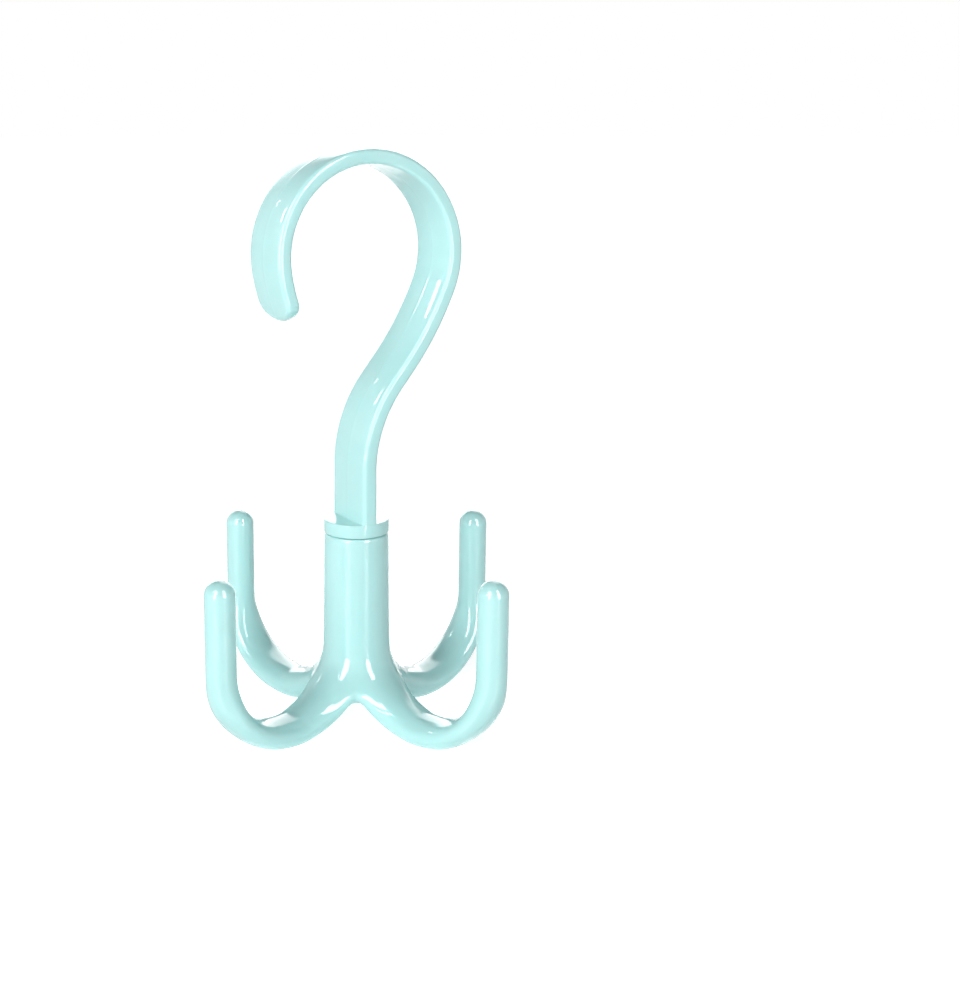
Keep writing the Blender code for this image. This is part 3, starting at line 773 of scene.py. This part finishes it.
def build_screw(sizes):
    """The self-tapping pan-head screw, driven up into the peg from below."""
    bottom, tip = (corner.z for corner in NODE_BOXES[SCREW_NODE])
    core, head = sizes.core_diameter / 2, sizes.head_diameter / 2
    seat = bottom + sizes.head_height
    profile = [
        (0, tip),
        (core, tip - sizes.screw_point),
        (core, seat),
        (head - sizes.seat_chamfer, seat),
        (head, seat - sizes.seat_chamfer),
    ]
    for step in range(HEAD_STEPS + 1):
        turn = pi / 2 * step / HEAD_STEPS
        profile.append((head - sizes.head_edge * (1 - cos(turn)), bottom + sizes.head_edge * (1 - sin(turn))))
    profile.append((0, bottom))
    made = turned("pan_head_screw", profile)
    first_z = seat + sizes.thread_pitch
    last_z = tip - sizes.screw_point - sizes.thread_pitch / 2
    combine(made, thread_bead(sizes, first_z, last_z), "UNION")
    combine(made, cross_recess(sizes, bottom), "DIFFERENCE")
    made.data.shade_smooth()
    made.data.set_sharp_from_angle(angle=SHARP_SCREW_EDGE)
    return made


# Finishes


# A noise is (scale, detail, roughness, distortion), and a range the stretch of it that is spread over 0 to 1
STREAK_STRETCH = (1.0, 1.0, 0.35)
STREAK_NOISE, STREAK_RANGE = (90.0, 4.0, 0.55, 0.6), (0.35, 0.68)
HANDLED_NOISE, HANDLED_RANGE = (45.0, 3.0), (0.4, 0.7)
WAVE_NOISE, PEEL_NOISE = (70.0, 1.0), (1400.0, 2.0)
PLASTIC_SOCKETS = {
    "IOR": 1.5,
    "Subsurface Weight": 0.35,
    "Subsurface Radius": (0.6, 1.0, 1.0),
    "Subsurface Scale": 0.003,
}
PATCH_NOISE, PATCH_RANGE = (700.0, 4.0, 0.6), (0.38, 0.66)
ZINC_ROUGHNESS_RANGE = (0.24, 0.42)
MARK_NOISE, MARK_STRENGTH, MARK_HEIGHT = (9000.0, 2.0), 0.5, 0.00001


class Nodes:
    """Adds and joins the nodes of one tree."""

    def __init__(self, tree):
        self.tree = tree

    def add(self, kind, settings=None, **inputs):
        """A node. Inputs are values or sockets, by name with _ for a space, or by place as in0."""
        node = self.tree.nodes.new(kind)
        for name, value in (settings or {}).items():
            setattr(node, name, value)
        for name, value in inputs.items():
            key = int(name.removeprefix("in")) if name.startswith("in") else name.replace("_", " ")
            self.set(node.inputs[key], value)
        return node

    def set(self, socket, value):
        """Gives a socket a value, or links another socket to it."""
        if isinstance(value, bpy.types.NodeSocket):
            self.tree.links.new(value, socket)
        else:
            socket.default_value = value

    def number(self, kind, operation, *values):
        """The Value socket of a Math or Vector Math node."""
        inputs = {f"in{place}": value for place, value in enumerate(values)}
        return self.add(kind, {"operation": operation}, **inputs).outputs["Value"]

    def noise(self, where, scale, detail, roughness=0.5, distortion=0.0):
        """A noise texture's Fac socket."""
        shape = {"Scale": scale, "Detail": detail, "Roughness": roughness, "Distortion": distortion}
        return self.add("ShaderNodeTexNoise", Vector=where, **shape).outputs["Fac"]

    def remap(self, value, old_range, new_range=(0.0, 1.0), curve="LINEAR"):
        """A socket with the value's range changed and clamped."""
        ends = dict(zip(("From_Min", "From_Max", "To_Min", "To_Max"), (*old_range, *new_range)))
        node = self.add("ShaderNodeMapRange", {"interpolation_type": curve}, Value=value, **ends)
        return node.outputs["Result"]

    def blend(self, factor, first, last):
        """A socket that goes from the first value to the last as the factor goes from 0 to 1."""
        return self.remap(factor, (0.0, 1.0), (first, last))

    def mix(self, factor, first, second):
        """A socket with two colours mixed."""
        node = self.add("ShaderNodeMix", {"data_type": "RGBA"}, in0=factor, in6=first, in7=second)
        return node.outputs[2]

    def bump(self, height, strength, distance, **normal):
        """A bumped normal's socket."""
        node = self.add("ShaderNodeBump", Height=height, Strength=strength, Distance=distance, **normal)
        return node.outputs["Normal"]


def mint_plastic(finish):
    """Glossy moulded plastic, with faint flow streaks in its colour, and slow waves and a fine ripple."""
    made = bpy.data.materials.get("gloss_mint")
    if made:
        return made
    made = bpy.data.materials.new("gloss_mint")
    made.use_nodes = True
    nodes = Nodes(made.node_tree)
    where = nodes.add("ShaderNodeTexCoord").outputs["Object"]
    flow = nodes.add("ShaderNodeMapping", Vector=where, Scale=STREAK_STRETCH).outputs["Vector"]
    streaks = nodes.remap(nodes.noise(flow, *STREAK_NOISE), STREAK_RANGE)
    roughness = (finish.gloss_roughness, finish.worn_roughness)
    handled = nodes.remap(nodes.noise(where, *HANDLED_NOISE), HANDLED_RANGE, roughness)
    waves = nodes.bump(nodes.noise(where, *WAVE_NOISE), 1.0, finish.wave_height)
    skin = nodes.bump(nodes.noise(where, *PEEL_NOISE), 1.0, finish.peel_height, Normal=waves)
    shader = made.node_tree.nodes["Principled BSDF"].inputs
    nodes.set(shader["Base Color"], nodes.mix(streaks, finish.mint, finish.mint_deep))
    nodes.set(shader["Roughness"], handled)
    nodes.set(shader["Normal"], skin)
    for name, value in PLASTIC_SOCKETS.items():
        shader[name].default_value = value
    return made


def zinc_steel(finish):
    """Bright zinc plating on steel, with duller patches and fine turning marks round the axis."""
    made = bpy.data.materials.new("bright_zinc")
    made.use_nodes = True
    nodes = Nodes(made.node_tree)
    where = nodes.add("ShaderNodeTexCoord").outputs["Object"]
    apart = nodes.add("ShaderNodeSeparateXYZ", Vector=where).outputs
    level = nodes.add("ShaderNodeCombineXYZ", X=apart["X"], Y=apart["Y"]).outputs["Vector"]
    radius = nodes.number("ShaderNodeVectorMath", "LENGTH", level)
    rings = nodes.add("ShaderNodeCombineXYZ", X=radius, Y=apart["Z"]).outputs["Vector"]
    patches = nodes.remap(nodes.noise(where, *PATCH_NOISE), PATCH_RANGE)
    shader = made.node_tree.nodes["Principled BSDF"].inputs
    nodes.set(shader["Base Color"], nodes.mix(patches, finish.zinc, finish.zinc_shade))
    nodes.set(shader["Roughness"], nodes.blend(patches, *ZINC_ROUGHNESS_RANGE))
    nodes.set(shader["Normal"], nodes.bump(nodes.noise(rings, *MARK_NOISE), MARK_STRENGTH, MARK_HEIGHT))
    shader["Metallic"].default_value = 1.0
    return made


# Stage


WHITE = (1.0, 1.0, 1.0, 1.0)
FLOOR_SIDES = 96
FLOOR_NOISE, FLOOR_RANGE, FLOOR_GRAIN_SHARE = (60.0, 3.0), (0.3, 0.7), 0.98
FLOOR_ROUGHNESS = 0.22
# Distances from the hanger, in metres, over which the floor turns as white as the background
FLOOR_FADE = (0.2, 1.2)

# Azimuths and elevations in degrees, with azimuth 0 on the camera's side, and sizes across and up in metres
CLAWS_MIDDLE, BAND_MIDDLE = (0, 0, 0.04), (0.013, 0, 0.1)
BROAD_AZIMUTH, BROAD_ELEVATION, BROAD_SIZE = -24, 27, (0.9, 0.8)
CLAW_STRIPS = (
    ("left_strip", -30, (0.15, 0.60)),
    ("left_sliver", -49, (0.04, 0.56)),
    ("right_strip", 38, (0.18, 0.60)),
)
CLAW_STRIP_ELEVATION = 22
# The small ones behind also have their share of the strips' radiance, and are turned about their own middles
BAND_STRIPS = (
    ("back_strip", -119.3, (0.0135, 0.084), 1.4),
    ("back_sliver", -128.5, (0.006, 0.08), 0.6),
)
BAND_STRIP_ELEVATION, BAND_STRIP_LEAN = 21.8, 31

# Each fade is a range of a direction's X or Z, or of the cosine between its level part and a side
RIGHT_FADE_X, OVERHEAD_FADE_Z = (0.15, 0.8), (0.05, 0.55)
LEFT_SIDE, LEFT_FADE, LEFT_TOP_FADE_Z = (-0.574, 0.819, 0.0), (0.8, 0.95), (0.35, 0.65)
BACKDROP_SIDE, BACKDROP_FADE = (0.035, 0.9994, 0.0), (0.8, 0.94)
# The backdrop reaches higher on the right, and fades just above its top
BACKDROP_RISE_X, BACKDROP_TOP_Z, BACKDROP_TOP_FADE = (-0.25, 0.1), (0.3, 0.75), (-0.04, 0.18)

SENSOR_WIDTH = 36.0
CLIP_START, CLIP_END = 0.01, 50.0


def white_floor(stage):
    """Pale satin floor, white to the camera and in reflections, that keeps the object's shadow."""
    made = bpy.data.materials.new("pale_floor")
    made.use_nodes = True
    nodes = Nodes(made.node_tree)
    nodes.tree.nodes.remove(nodes.tree.nodes["Principled BSDF"])
    path = nodes.add("ShaderNodeLightPath").outputs
    where = nodes.add("ShaderNodeTexCoord").outputs["Object"]
    grain = nodes.remap(nodes.noise(where, *FLOOR_NOISE), FLOOR_RANGE)
    darker = tuple(FLOOR_GRAIN_SHARE * part for part in stage.floor[:3])
    tone = nodes.mix(grain, stage.floor, (*darker, 1.0))
    matt = nodes.add("ShaderNodeBsdfDiffuse", Color=tone).outputs["BSDF"]
    satin = nodes.add("ShaderNodeBsdfGlossy", Color=WHITE, Roughness=FLOOR_ROUGHNESS).outputs["BSDF"]
    sheen = nodes.number("ShaderNodeMath", "MULTIPLY", path["Is Glossy Ray"], stage.floor_sheen)
    surface = nodes.add("ShaderNodeMixShader", in0=sheen, in1=matt, in2=satin).outputs["Shader"]
    away = nodes.number("ShaderNodeVectorMath", "LENGTH", where)
    seen = nodes.remap(away, FLOOR_FADE, (stage.floor_lift, 1.0))
    lift = nodes.blend(path["Is Glossy Ray"], stage.floor_glow, stage.floor_mirrored)
    lift = nodes.blend(path["Is Camera Ray"], lift, seen)
    glow = nodes.add("ShaderNodeEmission", Color=WHITE, Strength=lift).outputs["Emission"]
    both = nodes.add("ShaderNodeAddShader", in0=surface, in1=glow).outputs["Shader"]
    nodes.set(nodes.tree.nodes["Material Output"].inputs["Surface"], both)
    return made


def build_floor(stage):
    """A wide round floor just under the claws."""
    shape = bmesh.new()
    bmesh.ops.create_circle(shape, cap_ends=True, radius=stage.floor_radius, segments=FLOOR_SIDES)
    made = object_from("studio_floor", shape, smooth=False)
    made.location.z = -stage.floor_gap
    made.data.materials.append(white_floor(stage))


def soft_lamp(name, azimuth, elevation, distance, size, power, aim=CLAWS_MIDDLE, mirrored=True, lean=0):
    """A rectangular soft box that faces its aim, seen by the gloss alone or by all but the gloss."""
    light = bpy.data.lights.new(name, "AREA")
    light.shape = "RECTANGLE"
    light.size, light.size_y = size
    light.energy = power
    lamp = bpy.data.objects.new(name, light)
    bpy.context.scene.collection.objects.link(lamp)
    a, e = radians(azimuth), radians(elevation)
    place = Vector((sin(a) * cos(e), -cos(a) * cos(e), sin(e))) * distance
    lamp.location = place + Vector(aim)
    facing = (-place).to_track_quat("-Z", "Y").to_matrix() @ Matrix.Rotation(radians(lean), 3, "Z")
    lamp.rotation_euler = facing.to_euler()
    lamp.visible_glossy = mirrored
    lamp.visible_diffuse = not mirrored


def build_lamps(stage):
    """One broad soft lamp from the front left, and narrow soft boxes that leave streaks in the gloss."""
    soft_lamp(
        "broad_box", BROAD_AZIMUTH, BROAD_ELEVATION, stage.broad_distance, BROAD_SIZE, stage.broad_power,
        mirrored=False,
    )
    for name, azimuth, size in CLAW_STRIPS:
        watts = stage.strip_radiance * pi * size[0] * size[1]
        soft_lamp(name, azimuth, CLAW_STRIP_ELEVATION, stage.strip_distance, size, watts)
    for name, azimuth, size, part in BAND_STRIPS:
        watts = stage.strip_radiance * part * pi * size[0] * size[1]
        soft_lamp(
            name, azimuth, BAND_STRIP_ELEVATION, stage.strip_distance, size, watts,
            aim=BAND_MIDDLE, lean=BAND_STRIP_LEAN,
        )


def build_world(stage):
    """Plain soft room light, brightest low down, with the backdrop behind as the gloss mirrors it."""
    world = bpy.data.worlds.new("studio")
    world.use_nodes = True
    bpy.context.scene.world = world
    nodes = Nodes(world.node_tree)
    toward = nodes.add("ShaderNodeTexCoord").outputs["Generated"]
    way = nodes.add("ShaderNodeSeparateXYZ", Vector=toward).outputs
    path = nodes.add("ShaderNodeLightPath").outputs
    level = nodes.add("ShaderNodeCombineXYZ", X=way["X"], Y=way["Y"]).outputs["Vector"]
    level = nodes.add("ShaderNodeVectorMath", {"operation": "NORMALIZE"}, in0=level).outputs["Vector"]

    def fade(value, old_range, new_range=(0.0, 1.0)):
        return nodes.remap(value, old_range, new_range, "SMOOTHSTEP")

    def side(direction, old_range):
        return fade(nodes.number("ShaderNodeVectorMath", "DOT_PRODUCT", level, direction), old_range)

    low = nodes.blend(fade(way["X"], RIGHT_FADE_X), stage.room_front, stage.room_right)
    room = nodes.blend(fade(way["Z"], OVERHEAD_FADE_Z), low, stage.room_top)
    left = nodes.blend(fade(way["Z"], LEFT_TOP_FADE_Z), side(LEFT_SIDE, LEFT_FADE), 0.0)
    room = nodes.blend(nodes.blend(path["Is Glossy Ray"], 0.0, left), room, stage.room_left)
    top = fade(way["X"], BACKDROP_RISE_X, BACKDROP_TOP_Z)
    above = fade(nodes.number("ShaderNodeMath", "SUBTRACT", way["Z"], top), BACKDROP_TOP_FADE)
    behind = nodes.blend(above, side(BACKDROP_SIDE, BACKDROP_FADE), 0.0)
    room = nodes.blend(nodes.blend(path["Is Glossy Ray"], 0.0, behind), room, stage.room_back)
    background = world.node_tree.nodes["Background"].inputs
    background["Color"].default_value = WHITE
    nodes.set(background["Strength"], nodes.blend(path["Is Camera Ray"], room, 1.0))


def build_camera(stage):
    """The camera, at the photograph's viewing angle."""
    data = bpy.data.cameras.new("camera")
    data.sensor_width = SENSOR_WIDTH
    data.lens = stage.lens
    data.shift_x, data.shift_y = stage.shift_x, stage.shift_y
    data.clip_start, data.clip_end = CLIP_START, CLIP_END
    camera = bpy.data.objects.new("camera", data)
    bpy.context.scene.collection.objects.link(camera)
    camera.location = (0, -stage.camera_back, stage.camera_height)
    camera.rotation_euler = (pi / 2 - stage.camera_pitch, 0, 0)
    bpy.context.scene.camera = camera


# Operators and panel


class HANGER_OT_claws(Operator):
    """Builds the barrel with its four claws"""

    bl_idname = "hanger.build_claws"
    bl_label = "Claws"

    def execute(self, context):
        scene = context.scene
        claws = build_claws(scene.hanger_claws)
        finish_piece(claws, mint_plastic(scene.hanger_finish), CLAWS_BODY, CLAW_NODE)
        return {"FINISHED"}


class HANGER_OT_hook(Operator):
    """Builds the hook with its collar and pivot peg"""

    bl_idname = "hanger.build_hook"
    bl_label = "Hook"

    def execute(self, context):
        scene = context.scene
        hook = build_hook(scene.hanger_hook)
        finish_piece(hook, mint_plastic(scene.hanger_finish), HOOK_BODY, HOOK_NODE)
        return {"FINISHED"}


class HANGER_OT_fastener(Operator):
    """Builds the washer and the screw that hold the hook in the barrel"""

    bl_idname = "hanger.build_fastener"
    bl_label = "Washer and screw"

    def execute(self, context):
        scene = context.scene
        steel = zinc_steel(scene.hanger_finish)
        finish_piece(build_washer(scene.hanger_fastener), steel, HOOK_BODY, WASHER_NODE)
        finish_piece(build_screw(scene.hanger_fastener), steel, HOOK_BODY, SCREW_NODE)
        return {"FINISHED"}


class HANGER_OT_stage(Operator):
    """Builds the floor, the lamps, the room light and the camera"""

    bl_idname = "hanger.build_stage"
    bl_label = "Stage"

    def execute(self, context):
        scene = context.scene
        stage = scene.hanger_stage
        scene.view_settings.view_transform = "Standard"
        build_floor(stage)
        build_world(stage)
        build_lamps(stage)
        build_camera(stage)
        return {"FINISHED"}


class HANGER_PT_sidebar(Panel):
    """Builds the hanger piece by piece"""

    bl_label = "Claw Hanger"
    bl_idname = "HANGER_PT_sidebar"
    bl_space_type = "VIEW_3D"
    bl_region_type = "UI"
    bl_category = "Claw Hanger"

    def draw(self, context):
        for operator in OPERATORS:
            self.layout.operator(operator.bl_idname)
        for name in SETTINGS:
            group = getattr(context.scene, name)
            box = self.layout.box()
            box.label(text=name.removeprefix("hanger_").capitalize())
            for value in group.__annotations__:
                box.prop(group, value)


OPERATORS = (HANGER_OT_claws, HANGER_OT_hook, HANGER_OT_fastener, HANGER_OT_stage)
SETTINGS = {
    "hanger_claws": HANGER_PG_claws,
    "hanger_hook": HANGER_PG_hook,
    "hanger_fastener": HANGER_PG_fastener,
    "hanger_finish": HANGER_PG_finish,
    "hanger_stage": HANGER_PG_stage,
}


def register():
    """Registers the settings, the operators and the panel."""
    for name, group in SETTINGS.items():
        bpy.utils.register_class(group)
        setattr(bpy.types.Scene, name, PointerProperty(type=group))
    for part in (*OPERATORS, HANGER_PT_sidebar):
        bpy.utils.register_class(part)


def unregister():
    """Takes them away again."""
    for part in reversed((*OPERATORS, HANGER_PT_sidebar)):
        bpy.utils.unregister_class(part)
    for name, group in SETTINGS.items():
        delattr(bpy.types.Scene, name)
        bpy.utils.unregister_class(group)


def main():
    """Builds everything in order."""
    register()
    bpy.ops.hanger.build_stage()
    bpy.ops.hanger.build_claws()
    bpy.ops.hanger.build_hook()
    bpy.ops.hanger.build_fastener()


if __name__ == "__main__":
    main()
